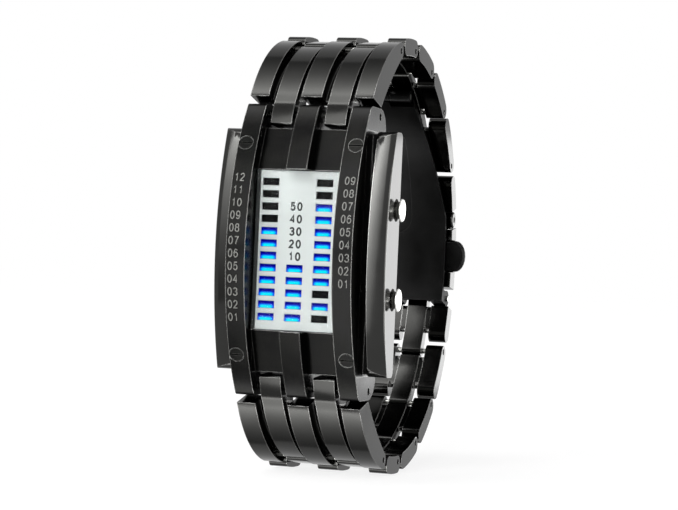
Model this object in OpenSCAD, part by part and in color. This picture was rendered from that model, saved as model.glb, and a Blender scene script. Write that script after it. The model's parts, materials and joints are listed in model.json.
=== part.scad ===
// Wristwatch with a light-row display: rectangular steel case on a five-column link bracelet
// with a push-button folding clasp. The origin is the middle of the case back's outer face.
// +Z points to the upper lugs, -Y to the viewer, +X to the side with the push-buttons.

/* [Case] */
// Thickness from the case back to the crown of the side rails
case_t = 14.3; // [13.8:0.1:15.5]
// Radius of the rails' front curve, seen from the side
rail_r = 40; // [38:0.5:44]
// Half of the lug to lug length
lug_z = 24; // [23.8:0.1:24.4]
// Half of the case body's length between the lugs
body_z = 20; // [19.7:0.1:20.2]
// Width of the bracelet and of the case over its rails
band_w = 21.2; // [21:0.1:23]
// Width of each side rail and outer bracelet column
rail_w = 3.25; // [3:0.05:3.5]
// Width of the middle bar and middle bracelet column
bar_w = 3.6; // [3.2:0.1:4]
// Depth of the display plate's face below the rails' crown
dial_drop = 4.9; // [4.5:0.1:5.2]
// Half of the display opening's length
dial_z = 13.1; // [12.8:0.1:13.6]
// Thickness of the rails where the lugs begin
rail_t = 0.44; // [0.4:0.02:0.6]
// Radius of the lug pins
lug_pin_r = 0.6; // [0.5:0.05:0.7]
// Distance of the lug pins from the lug tips
lug_pin_in = 1.4; // [1.3:0.05:1.6]
// Radius of the rounded corner at the lug tips
lug_round = 1.3; // [0.8:0.1:1.6]

/* [Guards] */
// Thickness of each side guard
guard_w = 3.2; // [2.9:0.1:3.4]
// Gap between a rail and its guard
guard_gap = 0.8; // [0.6:0.1:1]
// Height of a guard's front edge above the case back at its middle
guard_h = 9.1; // [8.8:0.1:9.6]
// Radius of the guards' front curve
guard_r = 57.6; // [55:0.5:62]
// Fall of a guard's front face toward its outer side
guard_slope = 0.6; // [0.4:0.1:0.8]
// Radius of the slight crown across a guard's front face
guard_crown = 22; // [18:1:40]
// Height of a guard's back edge above the case back
guard_low = 1.1; // [1:0.05:1.2]
// Radius of a guard's front corners, seen from the side
guard_round = 2.5; // [1.5:0.1:3]

/* [Screws] */
// Radius of the rail screw heads
screw_head_r = 1.12; // [1:0.02:1.2]
// Gap round the rail screw heads
screw_gap = 0.08; // [0.05:0.01:0.15]
// Width of the rail screws' slots
screw_slot = 0.22; // [0.2:0.01:0.4]
// Distance of the rail screws' axes from the rails' outer sides
screw_in = 1.27; // [1.2:0.01:1.4]
// Distance of the rail screws from the case's middle, up and down
screw_z = 17.3; // [16.9:0.1:17.6]
// Length of the rail screws
screw_l = 4.5; // [4:0.1:5]
// Radius of the case back screws' heads
back_screw_r = 1.1; // [0.9:0.05:1.2]

/* [Display] */
// Width of one light window
win_w = 2.8; // [2.4:0.05:3]
// Height of one light window
win_h = 1.23; // [1:0.01:1.4]
// Distance from row to row
row_pitch = 2; // [1.95:0.01:2.05]
// Height of the first row
row_top = 11.1; // [10.9:0.05:11.2]
// Distance from column to column
col_pitch = 4.575; // [4.4:0.005:4.6]
// Offset of the middle column
col_mid = -0.43; // [-0.5:0.01:0]
// Thickness of the display plate
plate_t = 0.4; // [0.3:0.05:0.5]
// Thickness of the crystal
crystal_t = 1.2; // [1:0.1:1.4]
// Thickness of the crystal's gasket
gasket_t = 0.2; // [0.15:0.05:0.3]

/* [Module] */
// Wall beside the module cavity, up to the case's sides under the rails
cavity_w = 1.4; // [1.2:0.05:1.6]
// Length of the module cavity beyond each end of the display
cavity_l = 0.9; // [0.7:0.1:1.1]
// Width of the ledge that carries the crystal and the display plate
ledge = 0.6; // [0.5:0.05:0.7]
// Thickness of the circuit board
board_t = 0.8; // [0.6:0.1:1]
// Radius of the coin cell
cell_r = 8; // [7.8:0.05:8.1]
// Thickness of the coin cell
cell_t = 2; // [1.6:0.1:2.2]
// Thickness of the case back
back_t = 1.8; // [1.6:0.1:2]

/* [Push-buttons] */
// Distance of each push-button from the case's middle
button_z = 7.32; // [7:0.02:7.6]
// Height of the push-buttons' axis above the case back
button_h = 3.2; // [3:0.1:3.4]
// Radius of a push-button's cap
cap_r = 1.9; // [1.7:0.05:2]
// Thickness of a push-button's cap
cap_t = 0.3; // [0.28:0.02:0.35]
// Radius of a push-button's stem
stem_r = 1.4; // [1.3:0.05:1.45]
// Radius of a push-button's inner rod
rod_r = 0.6; // [0.5:0.05:0.65]
// Height of the cap's outer face above the guard
cap_out = 1.12; // [1.1:0.02:1.3]
// Travel of a push-button
button_travel = 0.7; // [0.5:0.05:0.75]

/* [Bracelet] */
// Radius of the closed loop, inside the links
loop_in = 34.6; // [34.5:0.1:35]
// Thickness of the links
link_t = 3; // [2.9:0.05:3.2]
// Distance of the loop's middle behind the case back
loop_y = 18.9; // [18.8:0.05:19]
// Width of a tongue
tongue_w = 3.65; // [3.4:0.05:3.8]
// Distance of a tongue's middle from the bracelet's middle
tongue_x = 4.6; // [4.5:0.05:4.7]
// Radius of the link pins
pin_r = 0.5; // [0.4:0.02:0.52]
// Height of the link pins above the links' inner side
pin_h = 1.1; // [1.05:0.05:1.2]
// Angle on the loop of the second pin, where link 1 ends
pin_2 = 103.5; // [103:0.1:104]
// Angle on the loop that the short second link spans
short_link = 15.5; // [15:0.1:16]
// Angle on the loop that each full link spans
full_link = 19.6; // [19.4:0.1:19.7]
// Radius of link 1's outer side
arc_r = 24.4; // [23.5:0.1:26]
// Radius of link 1's inner side
inner_r = 60.2; // [55:1:65]
// Radius of link 1's round end
nose_r = 1.45; // [1.3:0.05:1.48]
// Radius of the front face of the heads of link 1's tongues
head_r = 9; // [8:0.5:12]
// Gap between the case body and the heads of link 1's tongues
head_gap = 0.5; // [0.45:0.05:0.7]
// Distance from a pin to the ends of the next link's bars
bar_gap = 2.3; // [2.1:0.1:2.5]
// Running clearance round a turning pin
run_fit = 0.05; // [0.03:0.01:0.08]
// Clearance round a pin that stays fixed
pin_fit = 0.02; // [0.01:0.005:0.03]

/* [Clasp] */
// Angle on the loop of the clasp's end pins
end_pin = 12; // [11.8:0.1:12.4]
// Angle on the loop of the fold's hinge
fold_pin = 60; // [59:0.5:61]
// Thickness of the clasp's blades
blade_t = 0.8; // [0.6:0.05:0.9]
// Gap between the leaf and the links, and between leaf and base
blade_gap = 0.4; // [0.3:0.05:0.5]
// Half width of the blades at the fold's hinge
blade_top = 6.2; // [6:0.1:6.6]
// Distance of the base's edges from the bracelet's sides
blade_side = 0.8; // [0.6:0.1:1]
// Half width of the slot in the base
slot_x = 3.3; // [3:0.1:3.6]
// Radius of the fold hinge's barrel
barrel_r = 1.05; // [0.95:0.05:1.1]
// Height of a clasp button where it leaves the housing
clasp_button_h = 5.8; // [5.4:0.1:6]
// How far a clasp button stands out of the housing
clasp_button_out = 2.35; // [2:0.05:2.5]
// Travel of a clasp button
clasp_travel = 0.8; // [0.6:0.05:0.85]
// Clearance at the pivot between link 6 and the housing
open_fit = 0.35; // [0.3:0.01:0.36]

/* [Hidden] */
$fn = 64;
steel = [0.16, 0.16, 0.16];
fit = 0.05;
band_x = band_w / 2;
rail_in = band_x - rail_w;
bar_x = bar_w / 2;
screw_x = band_x - screw_in;
open_x = rail_in - ledge;
cavity_x = band_x - cavity_w;
cavity_z = dial_z + cavity_l;
// Depths, measured from the case back toward the viewer as negative Y
rail_c = rail_r - case_t;
dial_y = dial_drop - case_t;
plate_back = dial_y + plate_t;
step_y = plate_back + 1.4;
seat_y = rail_c - sqrt(pow(rail_r, 2) - pow(body_z, 2)) + rail_t;
board_back = step_y + board_t;
pin_1_y = -0.9;
pin_1_z = lug_z - lug_pin_in;
lug_back_r = lug_z - 20.25;
lug_fil_z = lug_z - lug_round;
lug_fil_y = rail_c - sqrt(pow(rail_r - lug_round, 2) - pow(lug_fil_z, 2));
lug_fil_a = atan2(lug_fil_z, lug_fil_y - rail_c);
lug_back_a = asin((body_z - lug_z + lug_back_r) / lug_back_r);
inlay_low = 3.2;
// Case back and push-buttons
back_x = band_x - 0.1;
back_z = body_z - 2.2;
seal_z = cavity_z + 1;
cell_back = -back_t - 0.8;
// Light windows: 12 rows on the left and right, the last 5 in the middle
left_lit = [4, 5, 6, 7, 8, 9, 10, 11];
mid_lit = [7, 8, 9, 10, 11];
right_lit = [2, 3, 4, 5, 6, 7, 8, 10];
left_dark = [0, 1, 2, 3];
right_dark = [0, 1, 9, 11];
lit = concat([for (i = left_lit) [-1, i]], [for (i = mid_lit) [0, i]],
    [for (i = right_lit) [1, i]]);
dark = concat([for (i = left_dark) [-1, i]], [for (i = right_dark) [1, i]]);
// Guards
guard_in = band_x + guard_gap;
guard_out = guard_in + guard_w;
crown_in = [guard_r, guard_in + 0.25];
crown_out = [guard_r - guard_slope, guard_out - 0.3];
crown_c = centre_of(crown_in, crown_out, guard_crown);
guard_c = guard_r - guard_h;
guard_fil_z = body_z - guard_round;
guard_fil_y = guard_c - sqrt(pow(guard_r - guard_round, 2) - pow(guard_fil_z, 2));
guard_fil_a = atan2(guard_fil_z, guard_fil_y - guard_c);
flange_y = -4.9;
cap_x = guard_out + cap_out;
stem_in = cap_x - 2.2;
clip_x = cavity_x - 0.45;
seal_x = guard_in - 1.2;
// Loop
loop_out = loop_in + link_t;
loop_mid = loop_in + link_t / 2;
pin_rad = loop_in + pin_h;
tongue_rad = pin_rad + pin_h;
deg_mm = 180 / (PI * pin_rad);
start_gap = bar_gap * deg_mm;
end_a = link_t / 2 * deg_mm;
tongue_end = (pin_h + 0.4) * deg_mm;
pins = [0, 0, pin_2, pin_2 - short_link, pin_2 - short_link - full_link,
    pin_2 - short_link - 2 * full_link, pin_2 - short_link - 3 * full_link, end_pin];
t_in = tongue_x - tongue_w / 2;
t_out = tongue_x + tongue_w / 2;
web_x = band_x - 1;
// Link 1: an outer and an inner arc, each through two points at its ends
p2_y = loop_y + pin_rad * cos(pin_2);
p2_z = pin_rad * sin(pin_2);
lug_out = [-5.52, lug_z + 1.34];
lug_low = [-0.61, lug_z + 0.22];
nose_out = [loop_y + (loop_out - 0.38) * cos(pin_2), (loop_out - 0.38) * sin(pin_2)];
arc_c = centre_of(nose_out, lug_out, arc_r);
nose_a = angle_of(arc_c, nose_out);
nose = arc_c + (arc_r - nose_r) * [cos(nose_a), sin(nose_a)];
nose_low = nose - nose_r * [cos(nose_a), sin(nose_a)];
inner_c = centre_of(nose_low, lug_low, inner_r);
inner_a = angle_of(inner_c, nose_low);
inner_lug = angle_of(inner_c, lug_low);
lug_a = angle_of(arc_c, lug_out);
head_y = pin_1_y - 5.9;
head_z = body_z + head_gap;
head_top = arc_c + (arc_r - link_t + 2 * pin_h) * [cos(lug_a - 1.2), sin(lug_a - 1.2)];
head_front = [head_y, head_z + 0.35];
head_c = centre_of(head_top, head_front, head_r);
// Clasp
leaf_out = loop_in - blade_gap;
leaf_in = leaf_out - blade_t;
base_out = leaf_in - blade_gap;
base_in = base_out - blade_t;
blade_low = band_x - blade_side;
button_x = band_x - 1.5;
fold_r = leaf_in + 0.1;
fold_y = loop_y + fold_r * cos(fold_pin);
fold_z = fold_r * sin(fold_pin);
end_r = 1.3;
end_rad = loop_in + end_r;
end_y = loop_y + end_rad * cos(end_pin);
end_z = end_rad * sin(end_pin);
house_up = end_pin - 2.8;
house_low = 8.8;
house_floor = loop_y + leaf_out - 0.25;
cb_z = 0.6;

// Profile in the YZ plane, drawn out along X from x0 to x1
module along_x(x0, x1) {
    translate([x0, 0, 0]) rotate([90, 0, 90]) linear_extrude(x1 - x0) children();
}

// Round bar along X at the point y, z
module rod_x(x0, x1, y, z, r) {
    translate([x0, y, z]) rotate([0, 90, 0]) cylinder(h = x1 - x0, r = r);
}

// Points of an arc round y, z in the YZ plane, in n steps, without i0 points at its start and
// i1 points at its end
function arc(y, z, r, a0, a1, n, i0 = 0, i1 = 0) = [for (i = [i0:n - i1])
    let (a = a0 + (a1 - a0) * i / n) [y + r * cos(a), z + r * sin(a)]];
// Centre of the arc of radius r from a to b, on the side to the right of the way from a to b
function centre_of(a, b, r) = let (d = (b - a) / 2)
    (a + b) / 2 + sqrt(r * r - d * d) / norm(d) * [-d[1], d[0]];
function angle_of(c, p) = atan2(p[1] - c[1], p[0] - c[0]);
function flip(p) = [for (i = [len(p) - 1:-1:0]) [p[i][0], -p[i][1]]];

// Part of a ring round a line along X
module ring_part(y, z, r0, r1, x0, x1, a0, a1) {
    translate([0, y, z]) rotate([90, 0, 90]) rotate([0, 0, a0])
        rotate_extrude(angle = a1 - a0, $fn = 180)
            polygon([[r0, x0], [r1, x0], [r1, x1], [r0, x1]]);
}

// Disc round a line along X, with bevelled rims
module disc_x(y, z, r, x0, x1, b = 0) {
    translate([0, y, z]) rotate([90, 0, 90]) rotate_extrude($fn = 48)
        polygon([[0, x0], [r - b, x0], [r, x0 + b], [r, x1 - b], [r - b, x1], [0, x1]]);
}

// Side view of a lug, from the front curve round the tip and down its round back
function lug_edge() = concat(
    arc(lug_fil_y, lug_fil_z, lug_round, lug_fil_a, 90, 5, 1),
    arc(pin_1_y, lug_z - lug_back_r, lug_back_r, 90, lug_back_a, 14));

// Side view of a rail: front curve, a lug at each end, flat seat
module rail_2d() {
    polygon(concat(arc(rail_c, 0, rail_r, 360 - lug_fil_a, lug_fil_a, 40), lug_edge(),
        [[seat_y, body_z], [seat_y, -body_z]], flip(lug_edge())));
}

// Axis of a rail screw, square to the rail's front curve
module at_screw(x, s) {
    a = asin(screw_z / rail_r);
    translate([x, rail_c - rail_r * cos(a), s * screw_z]) rotate([-s * a, 0, 0])
        rotate([-90, 0, 0]) children();
}

module rail(s) {
    x0 = s > 0 ? rail_in : -band_x;
    difference() {
        along_x(x0, x0 + rail_w) rail_2d();
        for (e = [-1, 1]) {
            rod_x(x0 - 1, x0 + rail_w + 1, pin_1_y, e * pin_1_z, lug_pin_r + pin_fit);
            at_screw(s * screw_x, e) {
                translate([0, 0, -1]) cylinder(h = 1.8, r = screw_head_r + screw_gap);
                cylinder(h = 12, r = 0.75);
            }
        }
    }
}

module left_rail() { color(steel) rail(-1); }
module right_rail() { color(steel) rail(1); }

module rail_screws() {
    color([0.5, 0.5, 0.5]) for (s = [-1, 1], e = [-1, 1]) at_screw(s * screw_x, e) {
        difference() {
            cylinder(h = 0.8, r = screw_head_r);
            translate([-2, -screw_slot / 2, -1]) cube([4, screw_slot, 1.4]);
        }
        translate([0, 0, 0.5]) cylinder(h = screw_l - 0.5, r = 0.7);
    }
}

// Front face of the case body above and below the display, sloping back to the lugs
module inlay_2d() {
    polygon([[dial_y, dial_z], [dial_y + inlay_low, body_z], [0, body_z], [0, -body_z],
        [dial_y + inlay_low, -body_z], [dial_y, -dial_z], [plate_back, -dial_z],
        [plate_back, dial_z]]);
}

module case_body() {
    color([0.12, 0.12, 0.12]) difference() {
        union() {
            along_x(-rail_in, rail_in) inlay_2d();
            translate([-band_x, -5, -body_z]) cube([band_w, 5, 2 * body_z]);
            for (s = [-1, 1]) translate([s > 0 ? rail_in : -band_x, seat_y, -body_z])
                cube([rail_w, -seat_y, 2 * body_z]);
            translate([-guard_in, flange_y, 0.4 - body_z])
                cube([2 * guard_in, -flange_y, 2 * body_z - 0.8]);
        }
        // Window, module cavity, back recess
        translate([-open_x, dial_y - 1, 0.5 - dial_z]) cube([2 * open_x, 6, 2 * dial_z - 1]);
        translate([-cavity_x, step_y, -cavity_z]) cube([2 * cavity_x, 20, 2 * cavity_z]);
        translate([-back_x - fit, -back_t, -back_z - fit])
            cube([2 * back_x + 2 * fit, 5, 2 * back_z + 2 * fit]);
        difference() {
            translate([0.3 - back_x, -back_t - 0.3, -seal_z])
                cube([2 * back_x - 0.6, 2, 2 * seal_z]);
            translate([0.8 - back_x, -back_t - 1, 0.5 - seal_z])
                cube([2 * back_x - 1.6, 4, 2 * seal_z - 1]);
        }
        for (s = [-1, 1], e = [-1, 1]) {
            at_screw(s * screw_x, e) cylinder(h = screw_l + 0.3, r = 0.75);
            back_screw_at(s, e) cylinder(h = 4.4, r = 0.6);
        }
        for (e = [-1, 1]) {
            rod_x(cavity_x - 1, guard_out, -button_h, e * button_z, rod_r + run_fit);
            rod_x(seal_x, guard_out, -button_h, e * button_z, 1.1);
            rod_x(guard_in - 0.3, guard_out, -button_h, e * button_z, stem_r + run_fit);
        }
    }
}

module back_screw_at(s, e) {
    translate([s * (back_x - 4), 0, e * (back_z - 1.4)]) rotate([90, 0, 0]) children();
}

// The lower edge of each middle bar lies on the sloping face of the case body
module centre_bar() {
    difference() {
        along_x(-bar_x, bar_x) polygon(concat(
            arc(rail_c, 0, rail_r, 180 - asin(dial_z / rail_r), lug_fil_a, 10), lug_edge(),
            [[dial_y + inlay_low, body_z], [dial_y, dial_z]]));
        rod_x(-5, 5, pin_1_y, pin_1_z, lug_pin_r + pin_fit);
    }
}

module centre_bars() {
    color(steel) {
        centre_bar();
        mirror([0, 0, 1]) centre_bar();
    }
}

module lug_pins() {
    color([0.6, 0.6, 0.6]) for (e = [-1, 1])
        rod_x(0.5 - band_x, band_x - 0.5, pin_1_y, e * pin_1_z, lug_pin_r);
}

// Side view of a guard's upper half, from the front curve over its rounded corners to its back
function guard_edge() = concat(
    [[-20, guard_r * sin(guard_fil_a)]],
    arc(guard_fil_y, guard_fil_z, guard_round, guard_fil_a, 90, 8),
    arc(-guard_low - 1, body_z - 1, 1, 90, 0, 6));

module guard() {
    intersection() {
        translate([0, guard_c, 0]) rotate([90, 0, 90]) rotate([0, 0, 150])
            rotate_extrude(angle = 60, $fn = 240) polygon([[30, guard_in],
                [guard_r - 0.25, guard_in],
                each arc(crown_c[0], crown_c[1], guard_crown, angle_of(crown_c, crown_in),
                    angle_of(crown_c, crown_out), 4),
                [guard_r - guard_slope - 0.3, guard_out], [30, guard_out]]);
        along_x(guard_in - 1, guard_out + 1) polygon(concat(guard_edge(), flip(guard_edge())));
    }
}

module left_guard() { color(steel) mirror([1, 0, 0]) guard(); }

module right_guard() {
    color(steel) difference() {
        guard();
        for (e = [-1, 1]) {
            rod_x(guard_in - 1, guard_out + 1, -button_h, e * button_z, stem_r + run_fit);
            translate([guard_out - 0.6, -button_h, e * button_z]) rotate([0, 90, 0])
                cylinder(h = 0.7, r1 = stem_r + 0.15, r2 = 1.95);
        }
    }
}

module crystal() {
    color([0.8, 0.85, 0.9, 0.3]) translate([fit - rail_in, dial_y - gasket_t - crystal_t,
        fit - dial_z]) cube([2 * rail_in - 2 * fit, crystal_t, 2 * dial_z - 2 * fit]);
}

module crystal_gasket() {
    color([0.05, 0.05, 0.05]) translate([0, dial_y - gasket_t, 0]) difference() {
        translate([fit - rail_in, 0, fit - dial_z])
            cube([2 * rail_in - 2 * fit, gasket_t, 2 * dial_z - 2 * fit]);
        translate([-open_x, -1, 0.15 - dial_z]) cube([2 * open_x, 3, 2 * dial_z - 0.3]);
    }
}

module window(p, w, h, y0, y1) {
    translate([col_mid + p[0] * col_pitch - w / 2, y0, row_top - p[1] * row_pitch - h / 2])
        cube([w, y1 - y0, h]);
}

module display_plate() {
    color([0.9, 0.9, 0.92]) difference() {
        translate([fit - rail_in, dial_y, fit - dial_z])
            cube([2 * rail_in - 2 * fit, plate_t, 2 * dial_z - 2 * fit]);
        for (p = concat(lit, dark)) window(p, win_w, win_h, dial_y - 1, plate_back + 1);
    }
}

module lit_lenses() {
    color([0.6, 0.75, 1]) for (p = lit)
        window(p, win_w - 2 * fit, win_h - 2 * fit, dial_y + 0.08, step_y - 0.5);
}

module dark_lenses() {
    color([0.3, 0.32, 0.36]) for (p = dark)
        window(p, win_w - 2 * fit, win_h - 2 * fit, dial_y + 0.08, step_y - 0.5);
}

module led_chips() {
    color([0.95, 0.9, 0.6]) for (p = concat(lit, dark))
        window(p, 1.6, 0.8, step_y - 0.5, step_y);
}

module circuit_board() {
    color([0.05, 0.35, 0.15]) difference() {
        translate([0.2 - cavity_x, step_y, 0.2 - cavity_z])
            cube([2 * cavity_x - 0.4, board_t, 2 * cavity_z - 0.4]);
    }
}

module module_holder() {
    color([0.1, 0.1, 0.1]) difference() {
        translate([0.2 - cavity_x, board_back, 0.2 - cavity_z])
            cube([2 * cavity_x - 0.4, -back_t - 0.5 - board_back, 2 * cavity_z - 0.4]);
        translate([0, cell_back - cell_t, 0]) rotate([-90, 0, 0])
            cylinder(h = 10, r = cell_r + 0.1);
        // Room for the push-buttons' inner ends
        for (e = [-1, 1])
            translate([cavity_x - 2.1, -button_h - 1.5, e * button_z - 1.5]) cube([5, 6, 3]);
    }
}

module battery() {
    color([0.75, 0.75, 0.72]) translate([0, cell_back - cell_t, 0]) rotate([-90, 0, 0]) {
        cylinder(h = 0.4, r = cell_r - 1.2);
        translate([0, 0, 0.4]) cylinder(h = cell_t - 0.4, r = cell_r);
    }
}

module battery_contact() {
    color([0.8, 0.75, 0.5]) {
        translate([-2, cell_back, -6]) cube([4, 0.2, 12]);
        for (e = [-1, 1]) translate([0, cell_back, e * 4]) rotate([-90, 0, 0])
            cylinder(h = 0.75, r = 1);
    }
}

module case_back() {
    color([0.6, 0.6, 0.6]) difference() {
        translate([-back_x, -back_t, -back_z]) cube([2 * back_x, back_t, 2 * back_z]);
        for (s = [-1, 1], e = [-1, 1]) back_screw_at(s, e) {
            translate([0, 0, -1]) cylinder(h = 5, r = 0.75);
            translate([0, 0, -1]) cylinder(h = 1.9, r = back_screw_r + 0.1);
        }
    }
}

module case_back_gasket() {
    color([0.05, 0.05, 0.05]) translate([0, -back_t - 0.3, 0]) difference() {
        translate([0.3 - back_x + fit, 0, fit - seal_z])
            cube([2 * back_x - 0.6 - 2 * fit, 0.3, 2 * seal_z - 2 * fit]);
        translate([0.8 - back_x - fit, -1, 0.5 - seal_z - fit])
            cube([2 * back_x - 1.6 + 2 * fit, 4, 2 * seal_z - 1 + 2 * fit]);
    }
}

module case_back_screws() {
    color([0.5, 0.5, 0.5]) for (s = [-1, 1], e = [-1, 1]) back_screw_at(s, e) difference() {
        union() {
            translate([0, 0, 0.2]) cylinder(h = 0.7, r = back_screw_r);
            translate([0, 0, 0.5]) cylinder(h = 3.8, r = 0.55);
        }
        translate([-2, -0.15, -1]) cube([4, 0.3, 1.6]);
    }
}

module button_seals() {
    color([0.05, 0.05, 0.05]) for (e = [-1, 1]) difference() {
        rod_x(seal_x + 0.02, seal_x + 0.8, -button_h, e * button_z, 1.08);
        rod_x(seal_x - 1, seal_x + 2, -button_h, e * button_z, rod_r + 0.02);
    }
}

// Push-button: cap, stem in the guard, rod through the case wall, groove for the clip
module button(e) {
    translate([0, -button_h, e * button_z]) rotate([90, 0, 90]) rotate_extrude()
        polygon([[0, clip_x - 0.3], [rod_r - 0.1, clip_x - 0.3], [rod_r, clip_x - 0.2],
            [rod_r, clip_x - 0.02], [rod_r - 0.18, clip_x - 0.02], [rod_r - 0.18, clip_x + 0.27],
            [rod_r, clip_x + 0.27], [rod_r, stem_in], [stem_r, stem_in],
            [stem_r, cap_x - cap_t], [cap_r - 0.1, cap_x - cap_t], [cap_r, cap_x - cap_t + 0.1],
            [cap_r, cap_x - 0.15], [cap_r - 0.15, cap_x], [0, cap_x]]);
}

module button_spring(e) {
    difference() {
        rod_x(guard_in - 0.3, stem_in, -button_h, e * button_z, stem_r - 0.15);
        rod_x(0, cap_x, -button_h, e * button_z, rod_r + 0.15);
    }
}

module button_clip(e) {
    difference() {
        rod_x(clip_x, clip_x + 0.25, -button_h, e * button_z, 1.1);
        rod_x(0, cap_x, -button_h, e * button_z, rod_r - 0.15);
    }
}

module upper_button() { color([0.6, 0.6, 0.6]) button(1); }
module lower_button() { color([0.6, 0.6, 0.6]) button(-1); }
module upper_button_spring() { color([0.7, 0.7, 0.7]) button_spring(1); }
module lower_button_spring() { color([0.7, 0.7, 0.7]) button_spring(-1); }
module upper_button_clip() { color([0.7, 0.7, 0.7]) button_clip(1); }
module lower_button_clip() { color([0.7, 0.7, 0.7]) button_clip(-1); }

// Columns of the bracelet: two outer bars, a middle bar, two tongues
function bars() = [[-band_x, -rail_in], [-bar_x, bar_x], [rail_in, band_x]];
function tongues() = [[-t_out, -t_in], [t_in, t_out]];
function ring_y(a, r) = loop_y + r * cos(a);
function ring_z(a, r) = r * sin(a);

// Link of the ring between the pins n and n + 1, turned to its place on the loop
module ring_link(n) {
    translate([0, loop_y, 0]) rotate([pins[n] - 45, 0, 0]) translate([0, -loop_y, 0])
        link_at_45(45 - pins[n] + pins[n + 1], n == 6);
}

// Side view of a bar with round ends about the angles a0 and a1; square at a1 in the last link
function bar_edge(a0, a1, last) = concat(arc(loop_y, 0, loop_out, a0, a1, 9),
    last ? [] : arc(ring_y(a1, loop_mid), ring_z(a1, loop_mid), link_t / 2, a1, a1 - 180, 10, 1, 1),
    arc(loop_y, 0, loop_in, a1, a0, 9),
    arc(ring_y(a0, loop_mid), ring_z(a0, loop_mid), link_t / 2, a0 + 180, a0, 10, 1, 1));

// Side view of a tongue, round about the pin at a0; the last link's also about the pin at a1
function tongue_edge(a0, a1, last) = concat(
    arc(loop_y, 0, tongue_rad, a0, last ? a1 + 1.8 : a1, 10),
    last ? arc(ring_y(a1, end_rad), ring_z(a1, end_rad), end_r, a1 + 42, a1 - 180, 12, 0, 1) : [],
    arc(loop_y, 0, loop_in, a1, a0, 10),
    arc(ring_y(a0, pin_rad), ring_z(a0, pin_rad), pin_h, a0 + 180, a0, 10, 1, 1));

// Link with its near pin at 45 degrees and its far pin at a1; the last one ends in tongues
module link_at_45(a1, last) {
    a0 = 45;
    far_y = ring_y(a1, last ? end_rad : pin_rad);
    far_z = ring_z(a1, last ? end_rad : pin_rad);
    web_a = a1 + (last ? 3.2 : tongue_end + 0.4);
    difference() {
        union() {
            for (b = bars()) along_x(b[0], b[1])
                polygon(bar_edge(a0 - start_gap - end_a, a1 + (last ? 2.8 : 0.16), last));
            for (t = tongues()) along_x(t[0], t[1])
                polygon(tongue_edge(a0, last ? a1 : a1 + tongue_end, last));
            along_x(-web_x, web_x) polygon(concat(
                arc(loop_y, 0, loop_in + 1.2, a0 - start_gap - end_a, web_a, 7),
                arc(loop_y, 0, loop_in + 0.15, web_a, a0 - start_gap - end_a, 7)));
        }
        for (t = tongues()) {
            rod_x(t[0] - 0.1, t[1] + 0.1, ring_y(a0, pin_rad), ring_z(a0, pin_rad),
                pin_r + run_fit);
            if (last) rod_x(t[0] - 0.1, t[1] + 0.1, far_y, far_z, pin_r + open_fit);
        }
        if (!last) for (b = bars())
            rod_x(b[0] - 0.1, b[1] + 0.1, far_y, far_z, pin_r + pin_fit);
    }
}

// Side view of link 1's bars: between two arcs, cut square at the lugs, round at the second pin
function bar_1_edge() = concat(arc(arc_c[0], arc_c[1], arc_r, lug_a, nose_a, 24),
    arc(nose[0], nose[1], nose_r, nose_a, nose_a - 180, 10, 1, 1),
    arc(inner_c[0], inner_c[1], inner_r, inner_a, inner_lug, 10));

// Side view of link 1's tongues. The head round the lug pin reaches the inlay's edge, and its
// underside slopes toward the case body, as far as the link's swing allows.
function tongue_1_edge() = concat(
    arc(arc_c[0], arc_c[1], arc_r - link_t + 2 * pin_h, nose_a + 3.5, lug_a - 1.2, 20, 0, 1),
    arc(head_c[0], head_c[1], head_r, angle_of(head_c, head_top), angle_of(head_c, head_front), 6),
    [[head_y + 0.2, head_z + 0.08], [head_y + 0.5, head_z],
        [pin_1_y - 1.6, head_z - 0.28], [pin_1_y - 0.3, head_z - 0.36]],
    arc(pin_1_y, pin_1_z, 1.4, -60, 0, 4),
    arc(inner_c[0], inner_c[1], inner_r, inner_lug - 1.8, inner_a + 1.6, 9));

module link_1() {
    difference() {
        union() {
            for (b = bars()) along_x(b[0], b[1]) polygon(bar_1_edge());
            for (t = tongues()) along_x(t[0], t[1]) polygon(tongue_1_edge());
            along_x(-web_x, web_x) polygon(concat(
                arc(arc_c[0], arc_c[1], arc_r - 2.1, nose_a + 4.4, lug_a - 2.2, 18),
                arc(inner_c[0], inner_c[1], inner_r + 0.15, inner_lug - 0.8, inner_a + 2, 8)));
        }
        for (t = tongues())
            rod_x(t[0] - 0.1, t[1] + 0.1, pin_1_y, pin_1_z, lug_pin_r + run_fit);
        for (b = bars()) rod_x(b[0] - 0.1, b[1] + 0.1, p2_y, p2_z, pin_r + pin_fit);
    }
}

module upper_link_1() { color(steel) link_1(); }
module upper_link_2() { color(steel) ring_link(2); }
module upper_link_3() { color(steel) ring_link(3); }
module upper_link_4() { color(steel) ring_link(4); }
module upper_link_5() { color(steel) ring_link(5); }
module upper_link_6() { color(steel) ring_link(6); }
module lower_link_1() { color(steel) mirror([0, 0, 1]) link_1(); }
module lower_link_2() { color(steel) mirror([0, 0, 1]) ring_link(2); }
module lower_link_3() { color(steel) mirror([0, 0, 1]) ring_link(3); }
module lower_link_4() { color(steel) mirror([0, 0, 1]) ring_link(4); }
module lower_link_5() { color(steel) mirror([0, 0, 1]) ring_link(5); }
module lower_link_6() { color(steel) mirror([0, 0, 1]) ring_link(6); }

module link_pin(n, s) {
    color([0.55, 0.55, 0.55])
        rod_x(0.5 - band_x, band_x - 0.5, ring_y(pins[n], pin_rad), s * ring_z(pins[n], pin_rad),
            pin_r);
}

module end_link_pin(s) {
    color([0.55, 0.55, 0.55]) rod_x(0.5 - band_x, band_x - 0.5, end_y, s * end_z, pin_r);
}

module fold_hinge_pin() {
    color([0.55, 0.55, 0.55]) rod_x(0.3 - blade_top, blade_top - 0.3, fold_y, fold_z, pin_r);
}

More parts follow.
